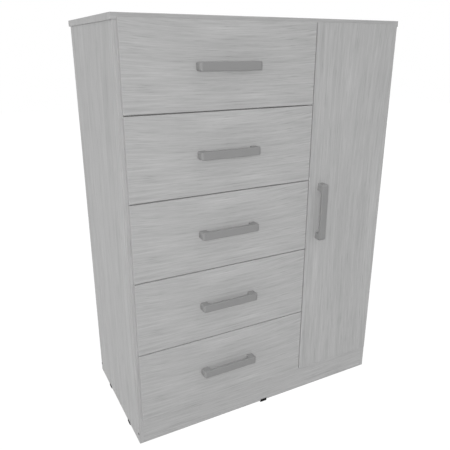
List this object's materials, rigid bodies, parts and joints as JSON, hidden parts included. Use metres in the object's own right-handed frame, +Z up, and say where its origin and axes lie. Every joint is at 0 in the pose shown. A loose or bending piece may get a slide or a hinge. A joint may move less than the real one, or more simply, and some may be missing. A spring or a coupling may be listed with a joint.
{
  "type": "chifforobe",
  "caption": "Freestanding chest with a column of wide drawers on the left and a tall cupboard behind one hinged door on the right, on a plinth with small glides.",
  "frame": {"origin": "on the floor, under the middle of the overall box, which runs from the handles to the back edge of the top", "axes": "+Z up; +Y from the front to the back, so the drawers and the door face -Y; +X to the right of somebody who looks at the front, where the door is"},
  "size_m": [0.805, 0.4328, 1.105],
  "materials": {
    "body_foil": "matte grey wood-grain foil on chipboard",
    "front_foil": "matte grey wood-grain foil on board",
    "drawer_board": "plain pale foil on chipboard",
    "hardboard": "pale lacquered hardboard",
    "glide_plastic": "moulded black",
    "runner_plastic": "moulded pale grey",
    "handle_metal": "satin grey",
    "hinge_steel": "nickel plated"
  },
  "bodies": {
    "carcass": {"left_side_panel": "body_foil", "right_side_panel": "body_foil", "bottom_panel": "body_foil", "centre_partition": "body_foil", "top_panel": "body_foil", "front_plinth": "body_foil", "rear_plinth": "body_foil", "cupboard_shelf": "body_foil", "back_panel": "hardboard", "left_front_glide": "glide_plastic", "left_rear_glide": "glide_plastic", "right_front_glide": "glide_plastic", "right_rear_glide": "glide_plastic", "plinth_glide": "glide_plastic", "upper_hinge_arm": "hinge_steel", "lower_hinge_arm": "hinge_steel", "drawer_1_left_runner": "runner_plastic", "drawer_1_right_runner": "runner_plastic", "drawer_2_left_runner": "runner_plastic", "drawer_2_right_runner": "runner_plastic", "drawer_3_left_runner": "runner_plastic", "drawer_3_right_runner": "runner_plastic", "drawer_4_left_runner": "runner_plastic", "drawer_4_right_runner": "runner_plastic", "drawer_5_left_runner": "runner_plastic", "drawer_5_right_runner": "runner_plastic"},
    "door": {"door_panel": "front_foil", "door_handle": "handle_metal", "upper_hinge_cup": "hinge_steel", "lower_hinge_cup": "hinge_steel"},
    "drawer_1": {"drawer_1_front": "front_foil", "drawer_1_left_side": "drawer_board", "drawer_1_right_side": "drawer_board", "drawer_1_back": "drawer_board", "drawer_1_bottom": "hardboard", "drawer_1_handle": "handle_metal"},
    "drawer_2": {"drawer_2_front": "front_foil", "drawer_2_left_side": "drawer_board", "drawer_2_right_side": "drawer_board", "drawer_2_back": "drawer_board", "drawer_2_bottom": "hardboard", "drawer_2_handle": "handle_metal"},
    "drawer_3": {"drawer_3_front": "front_foil", "drawer_3_left_side": "drawer_board", "drawer_3_right_side": "drawer_board", "drawer_3_back": "drawer_board", "drawer_3_bottom": "hardboard", "drawer_3_handle": "handle_metal"},
    "drawer_4": {"drawer_4_front": "front_foil", "drawer_4_left_side": "drawer_board", "drawer_4_right_side": "drawer_board", "drawer_4_back": "drawer_board", "drawer_4_bottom": "hardboard", "drawer_4_handle": "handle_metal"},
    "drawer_5": {"drawer_5_front": "front_foil", "drawer_5_left_side": "drawer_board", "drawer_5_right_side": "drawer_board", "drawer_5_back": "drawer_board", "drawer_5_bottom": "hardboard", "drawer_5_handle": "handle_metal"}
  },
  "joints": [
    {"name": "door_hinge", "type": "hinge", "parent": "carcass", "child": "door", "pos_m": [0.389, -0.1929, 0.5905], "axis": [0, 0, 1], "range_deg": [0, 105]},
    {"name": "drawer_1_slide", "type": "slide", "parent": "carcass", "child": "drawer_1", "axis": [0, -1, 0], "range_m": [0, 0.26]},
    {"name": "drawer_2_slide", "type": "slide", "parent": "carcass", "child": "drawer_2", "axis": [0, -1, 0], "range_m": [0, 0.26]},
    {"name": "drawer_3_slide", "type": "slide", "parent": "carcass", "child": "drawer_3", "axis": [0, -1, 0], "range_m": [0, 0.26]},
    {"name": "drawer_4_slide", "type": "slide", "parent": "carcass", "child": "drawer_4", "axis": [0, -1, 0], "range_m": [0, 0.26]},
    {"name": "drawer_5_slide", "type": "slide", "parent": "carcass", "child": "drawer_5", "axis": [0, -1, 0], "range_m": [0, 0.26]}
  ]
}
